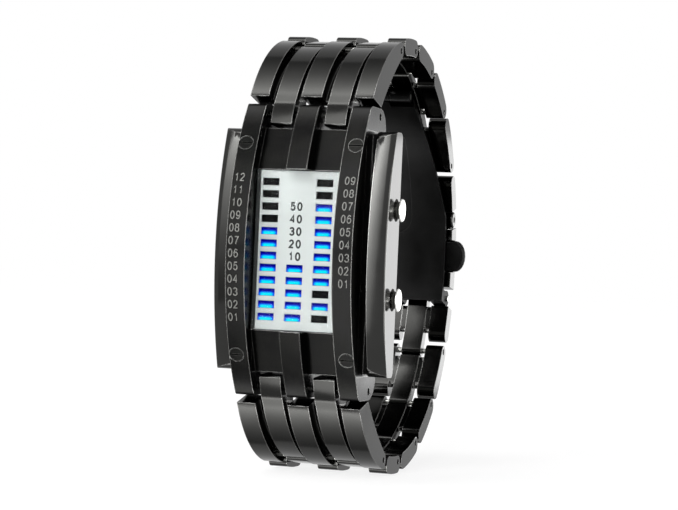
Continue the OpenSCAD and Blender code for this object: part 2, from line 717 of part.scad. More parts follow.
// Barrels round a clasp end pin, with a foot down to the radius r0
module end_knuckle(s, r0) {
    difference() {
        union() for (b = bars()) {
            disc_x(end_y, s * end_z, 1.5, b[0], b[1], 0.2);
            ring_part(loop_y, 0, r0, end_rad, b[0], b[1], s * end_pin - 2, s * end_pin + 2);
        }
        for (b = bars()) rod_x(b[0] - 0.1, b[1] + 0.1, end_y, s * end_z, pin_r + pin_fit);
    }
}

// Outline of a blade seen from the back: wide below, narrow at the fold's hinge
module blade_outline(low, top, z0) {
    translate([0, loop_y + 45, 0]) rotate([90, 0, 0]) linear_extrude(45)
        polygon([[-low, z0], [low, z0], [low, 8], [top, fold_z], [top, fold_z + 3],
            [-top, fold_z + 3], [-top, fold_z], [-low, 8]]);
}

module clasp_base() {
    edge = (barrel_r + 0.3) * 180 / (PI * fold_r);
    color(steel) difference() {
        union() {
            intersection() {
                ring_part(loop_y, 0, base_in, base_out, -blade_low, blade_low,
                    -end_pin - 2, fold_pin - edge);
                blade_outline(blade_low, blade_top, -20);
            }
            ring_part(loop_y, 0, base_in, base_out, -2, 2, fold_pin - edge - 1, fold_pin);
            disc_x(fold_y, fold_z, barrel_r, -2, 2);
            intersection() {
                end_knuckle(-1, base_in);
                translate([-blade_low, 0, -end_rad - 5])
                    cube([2 * blade_low, loop_y + 60, 2 * end_rad]);
            }
            // Latch posts beside the fold's buttons
            for (s = [-1, 1]) translate([s * 4.6 - 0.5, loop_y + base_in + 0.1, cb_z - 0.5])
                cube([1, house_floor + 1.6 - loop_y - base_in - 0.1, 1]);
        }
        rod_x(-3, 3, fold_y, fold_z, pin_r + run_fit);
        // Long slot with a round lower end
        translate([0, loop_y + 20, 0]) rotate([-90, 0, 0]) {
            linear_extrude(20) polygon([[-slot_x, -22], [slot_x, -22], [slot_x, -4.5 - slot_x],
                [-slot_x, -4.5 - slot_x]]);
            translate([0, -4.5 - slot_x, 0]) cylinder(h = 20, r = slot_x);
        }
        rod_x(-band_x, band_x, end_y, -end_z, pin_r + pin_fit);
    }
}

module clasp_leaf() {
    edge = (barrel_r + 0.3) * 180 / (PI * fold_r);
    top = fold_pin - edge;
    color(steel) difference() {
        union() {
            intersection() {
                along_x(-blade_low, blade_low) polygon(concat(
                    arc(loop_y, 0, leaf_out, -house_low, top, 36),
                    arc(loop_y, 0, leaf_in, top, -house_low, 36)));
                blade_outline(blade_low - 1, blade_top - 0.2, -20);
            }
            for (s = [0, 1]) mirror([s, 0, 0]) {
                along_x(2.5, blade_top - 0.6) polygon(concat(
                    arc(loop_y, 0, leaf_out - 0.1, top - 1, fold_pin, 2),
                    arc(loop_y, 0, leaf_in + 0.1, fold_pin, top - 1, 2)));
                rod_x(2.2, blade_top - 0.3, fold_y, fold_z, barrel_r);
            }
        }
        rod_x(-8, 8, fold_y, fold_z, pin_r + run_fit);
        // Holes that the latch posts pass through
        for (s = [-1, 1]) translate([s * 4.6 - 0.9, loop_y + 20, cb_z - 3])
            cube([1.8, 30, 4]);
    }
}

// Housing: a hollow block on the leaf's free end, with windows for the two buttons
module clasp_housing() {
    color(steel) difference() {
        union() {
            along_x(-band_x, band_x) polygon(concat(
                arc(loop_y, 0, loop_out, -house_low, house_up, 12),
                arc(loop_y, 0, leaf_out + 0.02, house_up, -house_low, 12)));
            for (b = bars()) {
                disc_x(end_y, end_z, 1.5, b[0], b[1], 0.2);
                along_x(b[0] + 0.4, b[1] - 0.4) polygon(concat(
                    arc(loop_y, 0, end_rad + 0.8, house_up - 1, end_pin, 2),
                    arc(loop_y, 0, end_rad - 0.9, end_pin, house_up - 1, 2)));
            }
        }
        // Hollow with a rib for the springs
        difference() {
            translate([-button_x - 0.1, 0, cb_z - 3.9])
                cube([2 * button_x + 0.2, house_floor + 2.2, 7.8]);
            translate([-0.5, 0, cb_z - 1]) cube([1, 90, 2]);
        }
        for (s = [0, 1]) mirror([s, 0, 0])
            translate([button_x - 0.1, 0, cb_z - clasp_button_h / 2 - 0.1])
                cube([10, house_floor + 2.2, clasp_button_h + 0.2]);
        rod_x(-band_x - 1, band_x + 1, end_y, end_z, pin_r + pin_fit);
    }
}

// Side button of the clasp, for the +X side: body, two arms, hook across their ends
module clasp_button() {
    y0 = house_floor + 0.5;
    h = clasp_button_h / 2;
    translate([0, y0, cb_z]) rotate([-90, 0, 0]) linear_extrude(1.5)
        polygon(concat([[button_x - 1.1, -3.6], [button_x, -3.6], [button_x, -h]],
            [for (a = [-90:15:90]) [band_x + 0.5 + (clasp_button_out - 0.5) * cos(a), h * sin(a)]],
            [[button_x, h], [button_x, 3.6], [button_x - 1.1, 3.6],
                [button_x - 1.1, 2.5], [3, 2.5], [3, -1.8], [button_x - 1.1, -1.8]]));
}

module right_clasp_button() {
    color([0.3, 0.3, 0.3]) difference() {
        clasp_button();
        translate([3.8, 0, cb_z - 1.6]) cube([2.3, 90, 2.5]);
    }
}

module left_clasp_button() {
    mirror([1, 0, 0]) right_clasp_button();
}

module clasp_spring() {
    difference() {
        rod_x(0.5, 3, house_floor + 1.25, cb_z, 0.65);
        rod_x(0, 4, house_floor + 1.25, cb_z, 0.4);
    }
}

module right_clasp_spring() { color([0.7, 0.7, 0.7]) clasp_spring(); }
module left_clasp_spring() { color([0.7, 0.7, 0.7]) mirror([1, 0, 0]) clasp_spring(); }

case_body();
left_rail();
right_rail();
rail_screws();
centre_bars();
left_guard();
right_guard();
crystal();
crystal_gasket();
display_plate();
lit_lenses();
dark_lenses();
led_chips();
circuit_board();
module_holder();
battery();
battery_contact();
case_back();
case_back_gasket();
case_back_screws();
lug_pins();
button_seals();
upper_button();
upper_button_spring();
upper_button_clip();
lower_button();
lower_button_spring();
lower_button_clip();
upper_link_1();
upper_link_2();
upper_link_3();
upper_link_4();
upper_link_5();
upper_link_6();
lower_link_1();
lower_link_2();
lower_link_3();
lower_link_4();
lower_link_5();
lower_link_6();
link_pin(2, 1);  // upper_pin_2
link_pin(3, 1);  // upper_pin_3
link_pin(4, 1);  // upper_pin_4
link_pin(5, 1);  // upper_pin_5
link_pin(6, 1);  // upper_pin_6
link_pin(2, -1);  // lower_pin_2
link_pin(3, -1);  // lower_pin_3
link_pin(4, -1);  // lower_pin_4
link_pin(5, -1);  // lower_pin_5
link_pin(6, -1);  // lower_pin_6
end_link_pin(1);  // upper_clasp_pin
end_link_pin(-1);  // lower_clasp_pin
fold_hinge_pin();
clasp_base();
clasp_leaf();
clasp_housing();
left_clasp_button();
right_clasp_button();
left_clasp_spring();
right_clasp_spring();
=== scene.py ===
import json
import math

import bpy
from mathutils import Matrix, Vector

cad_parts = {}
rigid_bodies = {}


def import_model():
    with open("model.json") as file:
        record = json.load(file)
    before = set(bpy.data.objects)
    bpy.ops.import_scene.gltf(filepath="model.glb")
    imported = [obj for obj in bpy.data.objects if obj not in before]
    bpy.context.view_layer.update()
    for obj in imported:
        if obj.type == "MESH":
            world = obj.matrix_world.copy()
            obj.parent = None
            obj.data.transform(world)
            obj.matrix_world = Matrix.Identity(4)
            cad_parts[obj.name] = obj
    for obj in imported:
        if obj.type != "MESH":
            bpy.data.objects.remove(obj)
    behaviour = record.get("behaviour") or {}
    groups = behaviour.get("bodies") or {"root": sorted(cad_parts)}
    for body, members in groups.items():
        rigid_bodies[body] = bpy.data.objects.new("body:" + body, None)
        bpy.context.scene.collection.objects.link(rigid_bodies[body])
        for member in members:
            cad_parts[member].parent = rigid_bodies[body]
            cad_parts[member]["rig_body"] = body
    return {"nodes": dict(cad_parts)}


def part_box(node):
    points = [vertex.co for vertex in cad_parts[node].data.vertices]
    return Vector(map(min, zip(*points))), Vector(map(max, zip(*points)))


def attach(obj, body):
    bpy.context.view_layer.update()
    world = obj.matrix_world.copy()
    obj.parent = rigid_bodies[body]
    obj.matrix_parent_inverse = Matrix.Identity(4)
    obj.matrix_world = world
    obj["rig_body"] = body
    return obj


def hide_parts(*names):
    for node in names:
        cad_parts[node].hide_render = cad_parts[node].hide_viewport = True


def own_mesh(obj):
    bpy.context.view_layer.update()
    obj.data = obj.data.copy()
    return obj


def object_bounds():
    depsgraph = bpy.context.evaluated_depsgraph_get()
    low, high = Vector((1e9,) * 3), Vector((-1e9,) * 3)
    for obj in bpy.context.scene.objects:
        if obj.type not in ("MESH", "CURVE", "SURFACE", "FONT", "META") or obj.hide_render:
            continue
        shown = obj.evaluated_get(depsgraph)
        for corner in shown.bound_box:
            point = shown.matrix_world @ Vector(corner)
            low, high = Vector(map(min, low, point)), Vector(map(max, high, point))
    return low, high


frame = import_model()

cad_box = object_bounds()
nodes = frame["nodes"]


# Camera
# A long lens, turned 16.5 degrees toward the push-buttons and level with the watch's middle.
# The watch stands a little tilted in the picture, which the camera's roll gives.
yaw, rise, roll = math.radians(16.5), math.radians(-0.272), math.radians(2.545)
right = Vector((math.cos(yaw), math.sin(yaw), 0))
ahead = Vector((-math.sin(yaw) * math.cos(rise), math.cos(yaw) * math.cos(rise), -math.sin(rise)))
above = right.cross(ahead)
right, above = (math.cos(roll) * right + math.sin(roll) * above,
                math.cos(roll) * above - math.sin(roll) * right)
focal_mm, film_mm = 115.4, 36
place = (0.10651, -0.34522, -0.00204)
lens = bpy.data.cameras.new("camera")
lens.lens = focal_mm
lens.sensor_width = film_mm
camera = bpy.data.objects.new("camera", lens)
camera.matrix_world = Matrix.Translation(place) @ Matrix(
    (right, above, -ahead)).transposed().to_4x4()
bpy.context.scene.collection.objects.link(camera)
bpy.context.scene.camera = camera
bpy.context.scene.view_settings.view_transform = "Standard"


# Floor, backdrop and light
# A matt white table in a white room, which both show plain white to the camera and in the steel.
# Large soft cards stand round the watch, each brighter toward one edge, as a studio's softboxes
# are, so that the polished steel shows long gradients.
def linear(colour):
    """sRGB hex colour as linear red, green, blue and an alpha of 1."""
    parts = [int(colour[i:i + 2], 16) / 255 for i in (1, 3, 5)]
    return [c / 12.92 if c <= 0.04045 else ((c + 0.055) / 1.055) ** 2.4 for c in parts] + [1]


def add(tree, kind, inputs=(), **settings):
    """Node with its settings, each input set to a value or linked to another node's socket."""
    node = tree.nodes.new(kind)
    for name, value in settings.items():
        setattr(node, name, value)
    for name, value in dict(inputs).items():
        if isinstance(value, bpy.types.NodeSocket):
            tree.links.new(value, node.inputs[name])
        else:
            node.inputs[name].default_value = value
    return node


def new_material(name):
    """Empty material and its node tree."""
    material = bpy.data.materials.new(name)
    material.use_nodes = True
    material.node_tree.nodes.clear()
    return material, material.node_tree


def seen_or_mirrored(tree):
    """1 for rays that the camera sends straight, or by a mirror or glass, and 0 for others."""
    rays = add(tree, "ShaderNodeLightPath")
    direct = add(tree, "ShaderNodeMath", {0: rays.outputs["Is Camera Ray"],
                                          1: rays.outputs["Is Glossy Ray"]}, operation="ADD")
    return add(tree, "ShaderNodeMath", {0: direct.outputs[0],
                                        1: rays.outputs["Is Transmission Ray"]},
               operation="ADD", use_clamp=True).outputs[0]


# The room lights the watch softly, and shows white where it is seen or mirrored
soft, full = 0.15, 1.0
room = bpy.data.worlds.new("white room")
room.use_nodes = True
tree = room.node_tree
tree.nodes.clear()
plain = add(tree, "ShaderNodeBackground", {"Color": linear("#FFFFFF"), "Strength": soft})
white = add(tree, "ShaderNodeBackground", {"Color": linear("#FFFFFF"), "Strength": full})
mix = add(tree, "ShaderNodeMixShader", {0: seen_or_mirrored(tree), 1: plain.outputs[0],
                                        2: white.outputs[0]})
add(tree, "ShaderNodeOutputWorld", {"Surface": mix.outputs[0]})
bpy.context.scene.world = room

table, tree = new_material("matt white table")
matt = add(tree, "ShaderNodeBsdfDiffuse", {"Color": linear("#F4F4F4")})
# Its glow grows away from the watch, so that the table meets the white room without an edge
near, far, near_glow, far_glow = 0.12, 0.42, 0.85, 0.97
reach = add(tree, "ShaderNodeVectorMath", {0: add(tree, "ShaderNodeTexCoord").outputs["Object"]},
            operation="LENGTH")
level = add(tree, "ShaderNodeMapRange", {0: reach.outputs["Value"], 1: near, 2: far,
                                         3: near_glow, 4: far_glow})
glow = add(tree, "ShaderNodeEmission", {"Color": linear("#FFFFFF"),
                                        "Strength": level.outputs[0]})
half = add(tree, "ShaderNodeBsdfDiffuse", {"Color": linear("#7C7C7C")})
shown = add(tree, "ShaderNodeAddShader", {0: half.outputs[0], 1: glow.outputs[0]})
both = add(tree, "ShaderNodeMixShader", {0: seen_or_mirrored(tree), 1: matt.outputs[0],
                                         2: shown.outputs[0]})
add(tree, "ShaderNodeOutputMaterial", {"Surface": both.outputs[0]})
half_side, gap = 3, 0.0002
z = cad_box[0][2] - gap
mesh = bpy.data.meshes.new("floor")
mesh.from_pydata([(x * half_side, y * half_side, z)
                  for x, y in ((-1, -1), (1, -1), (1, 1), (-1, 1))], [], [(0, 1, 2, 3)])
mesh.materials.append(table)
floor = bpy.data.objects.new("floor", mesh)
bpy.context.scene.collection.objects.link(floor)
# The steel sees the white room in place of the table, because both are the same white
floor.visible_glossy = False


def softbox(name, place, target, rise, width, height, low, high):
    """Card facing the target, whose light grows from low to high toward the side rise.

    The camera doesn't see it. Places and sizes are in metres."""
    away = (Vector(place) - Vector(target)).normalized()
    up = (Vector(rise) - away * away.dot(Vector(rise))).normalized()
    x, y = width / 2, height / 2
    mesh = bpy.data.meshes.new(name)
    mesh.from_pydata([(-x, -y, 0), (-x, y, 0), (x, y, 0), (x, -y, 0)], [], [(0, 1, 2, 3)])
    cloth, tree = new_material(name)
    across = add(tree, "ShaderNodeSeparateXYZ",
                 {0: add(tree, "ShaderNodeTexCoord").outputs["Object"]})
    part = add(tree, "ShaderNodeMapRange", {0: across.outputs["Y"], 1: -y, 2: y, 3: 0, 4: 1})
    rate = add(tree, "ShaderNodeMath", {0: high / low, 1: part.outputs[0]}, operation="POWER")
    back = add(tree, "ShaderNodeMath", {0: 1, 1: add(tree, "ShaderNodeNewGeometry").outputs[
        "Backfacing"]}, operation="SUBTRACT")
    rate = add(tree, "ShaderNodeMath", {0: rate.outputs[0], 1: back.outputs[0]},
               operation="MULTIPLY")
    rate = add(tree, "ShaderNodeMath", {0: rate.outputs[0], 1: low}, operation="MULTIPLY")
    light = add(tree, "ShaderNodeEmission", {"Color": linear("#FFFFFF"),
                                             "Strength": rate.outputs[0]})
    add(tree, "ShaderNodeOutputMaterial", {"Surface": light.outputs[0]})
    mesh.materials.append(cloth)
    o = bpy.data.objects.new(name, mesh)
    o.matrix_world = Matrix.Translation(place) @ Matrix(
        (up.cross(away), up, away)).transposed().to_4x4()
    o.visible_camera = False
    bpy.context.scene.collection.objects.link(o)


for name, side in (("above", 1), ("below", -1)):
    # Long gradients down the links' curves
    softbox(f"softbox {name}", place=(-0.156, 0.04, 0.556 * side), target=(0, 0, 0.03 * side),
            rise=(0, -1, 0), width=0.3, height=0.45, low=0.39, high=12)
# Sheen on the left guard
softbox("softbox left", place=(-0.352, -0.34, 0.104), target=(0, 0, 0), rise=(0, 0, 1),
        width=0.15, height=0.53, low=0.4, high=16)
# Slanted gradient on the right guard's front
softbox("softbox right front", place=(0.07, -0.49, 0.11), target=(0.07, 0, 0.11),
        rise=(-0.982, 0, 0.19), width=0.72, height=0.12, low=2, high=24)
# Light on the rounded edges, the push-buttons and the sides that face right
softbox("softbox right", place=(0.48, -0.13, 0), target=(0, 0, 0), rise=(0, 0, 1),
        width=0.36, height=0.4, low=6, high=6)
softbox("softbox behind right", place=(0.115, 0.41, 0), target=(0, 0, 0), rise=(0, 0, 1),
        width=0.14, height=0.09, low=4.4, high=4.4)
for side in (1, -1):
    # Sheen on the rails and on the heads of the first links' lower columns
    softbox(f"strip light {side}", place=(-0.12, -0.392, 0.287 * side), target=(0, 0, 0),
            rise=(0, 0, side), width=0.08, height=0.65, low=7, high=6)


# Case body
# Stainless steel, milled, brushed fine and plated black by ion plating: a smooth dark mirror
# with a soft sheen, slightly uneven from handling, with a painted highlight along its edges.
def steel(name, colour, rough, edge_highlight="#8C8C8A", grain=(1, 1, 1), tint="#FFFFFF", depth=0.04):
    """Steel that varies between two colours, with its edges painted a lighter colour as a
    highlight.

    grain is less than 1 along the brushing, depth is the brushing's strength, and tint is the
    colour of its reflection at a glancing view."""
    material, tree = new_material(name)
    place = add(tree, "ShaderNodeTexCoord").outputs["Object"]
    # Smudges are 4 mm across; brushing 0.06 mm wide is drawn twice as coarse, so that it shows
    smudge_size, brush_size = 0.004, 0.000125
    smudge = add(tree, "ShaderNodeTexNoise", {"Vector": place, "Scale": 1 / smudge_size,
                                              "Detail": 3})
    along = add(tree, "ShaderNodeMapping", {"Vector": place, "Scale": grain})
    brush = add(tree, "ShaderNodeTexNoise", {"Vector": along.outputs[0],
                                             "Scale": 1 / brush_size, "Detail": 2})
    patch = add(tree, "ShaderNodeMapRange", {0: smudge.outputs[0], 1: 0.3, 2: 0.7, 3: 0, 4: 1})
    dull = add(tree, "ShaderNodeMapRange", {0: smudge.outputs[0], 1: 0.3, 2: 0.7,
                                            3: rough * 0.85, 4: rough * 1.2})
    base = add(tree, "ShaderNodeMix", {0: patch.outputs[0], 6: linear(colour[0]),
                                       7: linear(colour[1])}, data_type="RGBA")
    bump = add(tree, "ShaderNodeBump", {"Height": brush.outputs[0], "Strength": depth,
                                        "Distance": 0.00002})
    # Painted highlight on the edges, from the angle between the surface and its rounded
    # normal: none at 4 degrees or less, most at 20 degrees
    edge_radius, edge_share = 0.00018, 0.7
    least, most = 0.997, 0.94
    rounded = add(tree, "ShaderNodeBevel", {"Radius": edge_radius}, samples=4)
    flat = add(tree, "ShaderNodeNewGeometry")
    turn = add(tree, "ShaderNodeVectorMath", {0: rounded.outputs[0], 1: flat.outputs["Normal"]},
               operation="DOT_PRODUCT")
    edge = add(tree, "ShaderNodeMapRange", {0: turn.outputs["Value"], 1: least, 2: most,
                                            3: 0, 4: edge_share})
    highlighted = add(tree, "ShaderNodeMix", {0: edge.outputs[0], 6: base.outputs[2],
                                       7: linear(edge_highlight)}, data_type="RGBA")
    finish = add(tree, "ShaderNodeBsdfPrincipled", {
        "Base Color": highlighted.outputs[2], "Metallic": 1.0, "Roughness": dull.outputs[0],
        "Specular Tint": linear(tint), "Normal": bump.outputs[0]})
    add(tree, "ShaderNodeOutputMaterial", {"Surface": finish.outputs[0]})
    return material


def dress(name, material, edge=0.12, segments=2):
    """Smooth shading, rounded edges (edge in mm) and the material, for a node of the frame."""
    # Points this close are one, in metres; the angles between faces are in degrees
    same_point, same_face, sharp, split_at = 1e-6, 0.3, 35, 30
    o = nodes[name]
    o.data.materials.clear()
    o.data.materials.append(material)
    if "custom_normal" in o.data.attributes:
        o.data.attributes.remove(o.data.attributes["custom_normal"])
    o.data.polygons.foreach_set("use_smooth", [True] * len(o.data.polygons))
    o.data.polygons.foreach_set("material_index", [0] * len(o.data.polygons))
    weld = o.modifiers.new("weld", "WELD")
    weld.merge_threshold = same_point
    if edge:
        merge = o.modifiers.new("merge", "DECIMATE")
        merge.decimate_type = "DISSOLVE"
        merge.angle_limit = math.radians(same_face)
        bevel = o.modifiers.new("bevel", "BEVEL")
        bevel.width = edge / 1000
        bevel.segments = segments
        bevel.limit_method = "ANGLE"
        bevel.angle_limit = math.radians(sharp)
    split = o.modifiers.new("split", "EDGE_SPLIT")
    split.split_angle = math.radians(split_at)
    split.use_edge_sharp = False
    # Large faces keep their own normals, so that only the rounded edges turn
    normals = o.modifiers.new("normals", "WEIGHTED_NORMAL")
    normals.mode = "FACE_AREA"
    normals.weight = 50


black = steel("black plated steel, satin", ("#151515", "#181817"), rough=0.22,
              grain=(1, 1, 0.03), tint="#DCDCDC", depth=0.02)
dress("case_body", black, edge=0.1)


# Rails
# Two curved side rails of the same black plated steel, each screwed to the case body at both
# ends. Their long edges are rounded a quarter of a millimetre, with a painted highlight on them.
for name in ("left_rail", "right_rail"):
    dress(name, black, edge=0.24, segments=3)


# Middle bars
# Black plated steel bars from the display's edge to the lug tips, set between the sloping
# faces, with the rails' finish and rounded edges.
dress("centre_bars", black, edge=0.24, segments=3)


# Guards
# Side guards of black plated steel, milled to a slight crown and polished to a bright, even
# mirror; the right one is drilled for the push-buttons.
guard_steel = steel("black plated steel, polished bright", ("#353534", "#383837"), rough=0.12,
                    tint="#DCDCDC", depth=0.005)
for name in ("left_guard", "right_guard"):
    dress(name, guard_steel, edge=0.12)


# Screws
# Slotted steel screws, plated like the rails and turned smooth, their heads flush in close
# recesses, so that only a thin ring and the slot show.
# Their rims are painted a lighter grey as a highlight
screw = steel("plated screw steel", ("#161616", "#1B1B1A"), rough=0.25, edge_highlight="#3C3C3A",
              depth=0.01)
for name in ("rail_screws", "case_back_screws"):
    dress(name, screw, edge=0.03)


# Links
# Solid five-column links of black plated steel, pinned to each other, and polished on the
# outside of each column, which gives a dark mirror with long gradients.
polished = steel("black plated steel, polished", ("#292928", "#2C2C2B"), rough=0.12,
                 tint="#DCDCDC", depth=0.005)
for side in ("upper", "lower"):
    for n in range(1, 7):
        dress(f"{side}_link_{n}", polished, edge=0.22, segments=3)


# Clasp
# Two curved black plated blades on a hinge, tumbled matt so that they reflect little, and a
# folded housing with two side buttons.
# Their edges are painted a lighter grey as a highlight
matt_steel = steel("black plated steel, matt", ("#1C1C1C", "#202020"), rough=0.34,
                   edge_highlight="#404040", tint="#B4B4B4")
for name in ("clasp_base", "clasp_leaf"):
    dress(name, matt_steel, edge=0.12)
dress("clasp_housing", polished, edge=0.15)
for name in ("left_clasp_button", "right_clasp_button"):
    dress(name, matt_steel, edge=0.35, segments=3)


# Pins
# Turned stainless pins, pressed into the columns that carry them. They are bare, so that their
# ends show as small light dots.
# Their edges are painted a paler grey as a highlight
bare = steel("turned stainless steel", ("#A8A8A4", "#B8B8B4"), rough=0.25, edge_highlight="#D0D0CC",
             grain=(0.03, 1, 1))
for name in list(nodes):
    if "pin" in name.split("_") or name == "lug_pins":
        dress(name, bare, edge=0)


# Case back
# Plain stainless back plate, brushed along its length, held by four small screws over its
# gasket. The brushing draws the light out into soft streaks.
# Its edges are painted a paler grey as a highlight
brushed = steel("brushed stainless steel", ("#9C9C98", "#B0B0AC"), rough=0.3, edge_highlight="#D0D0CC",
                grain=(1, 1, 0.02))
dress("case_back", brushed, edge=0.1)
rubber, tree = new_material("moulded nitrile rubber")
place = add(tree, "ShaderNodeTexCoord").outputs["Object"]
# Grain of the mould, a third of a millimetre, on a soft black without shine
fine = add(tree, "ShaderNodeTexNoise", {"Vector": place, "Scale": 3000, "Detail": 2})
bump = add(tree, "ShaderNodeBump", {"Height": fine.outputs[0], "Strength": 0.1,
                                    "Distance": 0.00003})
finish = add(tree, "ShaderNodeBsdfPrincipled", {"Base Color": linear("#141414"),
                                                "Roughness": 0.6, "Normal": bump.outputs[0]})
add(tree, "ShaderNodeOutputMaterial", {"Surface": finish.outputs[0]})
for name in ("case_back_gasket", "crystal_gasket", "button_seals"):
    dress(name, rubber, edge=0)


# Display plate
# Thin aluminium plate, punched for the light windows, bead blasted and anodised silver-white,
# which gives an even pale sheen like paper.
silver, tree = new_material("silver anodised aluminium, blasted")
place = add(tree, "ShaderNodeTexCoord").outputs["Object"]
# Bead marks of 0.05 mm, drawn as 0.11 mm so that they show
fine = add(tree, "ShaderNodeTexNoise", {"Vector": place, "Scale": 9000, "Detail": 2})
bump = add(tree, "ShaderNodeBump", {"Height": fine.outputs[0], "Strength": 0.1,
                                    "Distance": 0.00001})
finish = add(tree, "ShaderNodeBsdfPrincipled", {
    "Base Color": linear("#C6C6C4"), "Metallic": 0.0, "Roughness": 0.5,
    "Specular IOR Level": 0.2, "Normal": bump.outputs[0]})
add(tree, "ShaderNodeOutputMaterial", {"Surface": finish.outputs[0]})
dress("display_plate", silver, edge=0.05)


# Lit lenses
# Clear moulded lenses over blue LEDs. Each glows cyan in its lower middle and fades to deep
# blue at its upper edge and sides, because the LED sits low behind it.
lit, tree = new_material("polycarbonate lens, lit blue")
place = add(tree, "ShaderNodeSeparateXYZ", {0: add(tree, "ShaderNodeTexCoord").outputs["Object"]})


def cell(tree, source, first, pitch):
    """Distance from the nearest window's middle, in parts of the pitch, from -0.5 to 0.5."""
    steps = add(tree, "ShaderNodeMath", {0: source, 1: first}, operation="SUBTRACT")
    steps = add(tree, "ShaderNodeMath", {0: steps.outputs[0], 1: pitch}, operation="DIVIDE")
    near = add(tree, "ShaderNodeMath", {0: steps.outputs[0]}, operation="ROUND")
    return add(tree, "ShaderNodeMath", {0: steps.outputs[0], 1: near.outputs[0]},
               operation="SUBTRACT").outputs[0]


# Windows are 1.23 mm high and 2.65 mm wide
top_row, row_pitch, middle_column, column_pitch = 0.0111, 0.002, -0.00043, 0.004575
up = add(tree, "ShaderNodeMapRange", {0: cell(tree, place.outputs["Z"], top_row, row_pitch),
                                      1: 0.15, 2: -0.1, 3: 0, 4: 1})
side = add(tree, "ShaderNodeMath", {0: cell(tree, place.outputs["X"], middle_column,
                                            column_pitch)}, operation="ABSOLUTE")
side = add(tree, "ShaderNodeMapRange", {0: side.outputs[0], 1: 0.3, 2: 0.17, 3: 0.4, 4: 1})
level = add(tree, "ShaderNodeMath", {0: up.outputs[0], 1: side.outputs[0]}, operation="MULTIPLY")
ramp = add(tree, "ShaderNodeValToRGB", {0: level.outputs[0]})
ramp.color_ramp.elements[0].color = linear("#000088")
ramp.color_ramp.elements[1].color = linear("#00ECFF")
for at, colour in ((0.35, "#0014C8"), (0.62, "#1478FF"), (0.85, "#00C8FF")):
    ramp.color_ramp.elements.new(at).color = linear(colour)
finish = add(tree, "ShaderNodeBsdfPrincipled", {
    "Base Color": linear("#02040A"), "Roughness": 0.1, "Specular IOR Level": 0.05,
    "Emission Color": ramp.outputs[0], "Emission Strength": 1.0})
add(tree, "ShaderNodeOutputMaterial", {"Surface": finish.outputs[0]})
dress("lit_lenses", lit, edge=0)


# Dark lenses
# The same moulded lenses, glued in the same way, over LEDs that are off, so that they show
# near-black.
dark, tree = new_material("polycarbonate lens, unlit")
place = add(tree, "ShaderNodeTexCoord").outputs["Object"]
# Flow marks of the mould, 0.7 mm across, which only vary the sheen
fine = add(tree, "ShaderNodeTexNoise", {"Vector": place, "Scale": 1500, "Detail": 2})
dull = add(tree, "ShaderNodeMapRange", {0: fine.outputs[0], 3: 0.12, 4: 0.25})
finish = add(tree, "ShaderNodeBsdfPrincipled", {
    "Base Color": linear("#080808"), "Roughness": dull.outputs[0], "Specular IOR Level": 0.02})
add(tree, "ShaderNodeOutputMaterial", {"Surface": finish.outputs[0]})
dress("dark_lenses", dark, edge=0)


# Crystal
# Flat mineral glass with an anti-reflection coat, ground at its rim and glued in over its
# gasket. The coat leaves almost nothing of the room's reflection on the display.
glass, tree = new_material("mineral glass, coated")
place = add(tree, "ShaderNodeTexCoord").outputs["Object"]
# The coat's strength drifts over about 8 mm
fine = add(tree, "ShaderNodeTexNoise", {"Vector": place, "Scale": 120, "Detail": 1})
clear = add(tree, "ShaderNodeBsdfTransparent", {"Color": linear("#FAFCFC")})
shine = add(tree, "ShaderNodeBsdfGlossy", {"Color": linear("#FFFFFF"), "Roughness": 0.02})
amount = add(tree, "ShaderNodeMapRange", {0: fine.outputs[0], 3: 0.0008, 4: 0.0015})
mix = add(tree, "ShaderNodeMixShader", {0: amount.outputs[0], 1: clear.outputs[0],
                                        2: shine.outputs[0]})
add(tree, "ShaderNodeOutputMaterial", {"Surface": mix.outputs[0]})
dress("crystal", glass, edge=0.1)


# Numbers
# Plain figures, etched and filled with grey enamel on the rails, and printed in black on the
# plate. Each is drawn as a flat line of the print's width, just clear of its surface.
def bow(x, y, rx, ry, a0, a1, steps=14):
    """Points along part of an ellipse, in a figure's box of 1 by 1."""
    turn = [math.radians(a0 + (a1 - a0) * i / steps) for i in range(steps + 1)]
    return [(x + rx * math.cos(a), y + ry * math.sin(a)) for a in turn]


strokes = {
    "0": [bow(0.5, 0.5, 0.5, 0.5, 0, 360, 24)],
    "1": [[(0.2, 0.74), (0.46, 0.84), (0.6, 1), (0.6, 0)]],
    "2": [bow(0.48, 0.72, 0.46, 0.28, 170, -30) + [(0.62, 0.42), (0.2, 0.16), (0, 0), (1, 0)]],
    "3": [bow(0.48, 0.755, 0.44, 0.245, 165, -80) + bow(0.47, 0.265, 0.51, 0.265, 80, -165)],
    "4": [[(0.76, 0), (0.76, 1), (0, 0.3), (1.02, 0.3)]],
    "5": [[(0.94, 1), (0.2, 1), (0.07, 0.47)] + bow(0.48, 0.33, 0.5, 0.33, 130, -160)],
    "6": [bow(0.52, 0.7, 0.44, 0.3, 30, 130, 8) + bow(0.6, 0.4, 0.6, 0.6, 150, 205, 6),
          bow(0.5, 0.32, 0.48, 0.32, 0, 360, 20)],
    "7": [[(0, 1), (1, 1), (0.62, 0.56), (0.42, 0.2), (0.36, 0)]],
    "8": [bow(0.5, 0.765, 0.42, 0.235, 0, 360, 18), bow(0.5, 0.27, 0.5, 0.27, 0, 360, 20)],
    "9": [bow(0.48, 0.3, 0.44, 0.3, 210, 310, 8) + bow(0.4, 0.6, 0.6, 0.6, -30, 25, 6),
          bow(0.5, 0.68, 0.48, 0.32, 0, 360, 20)]}


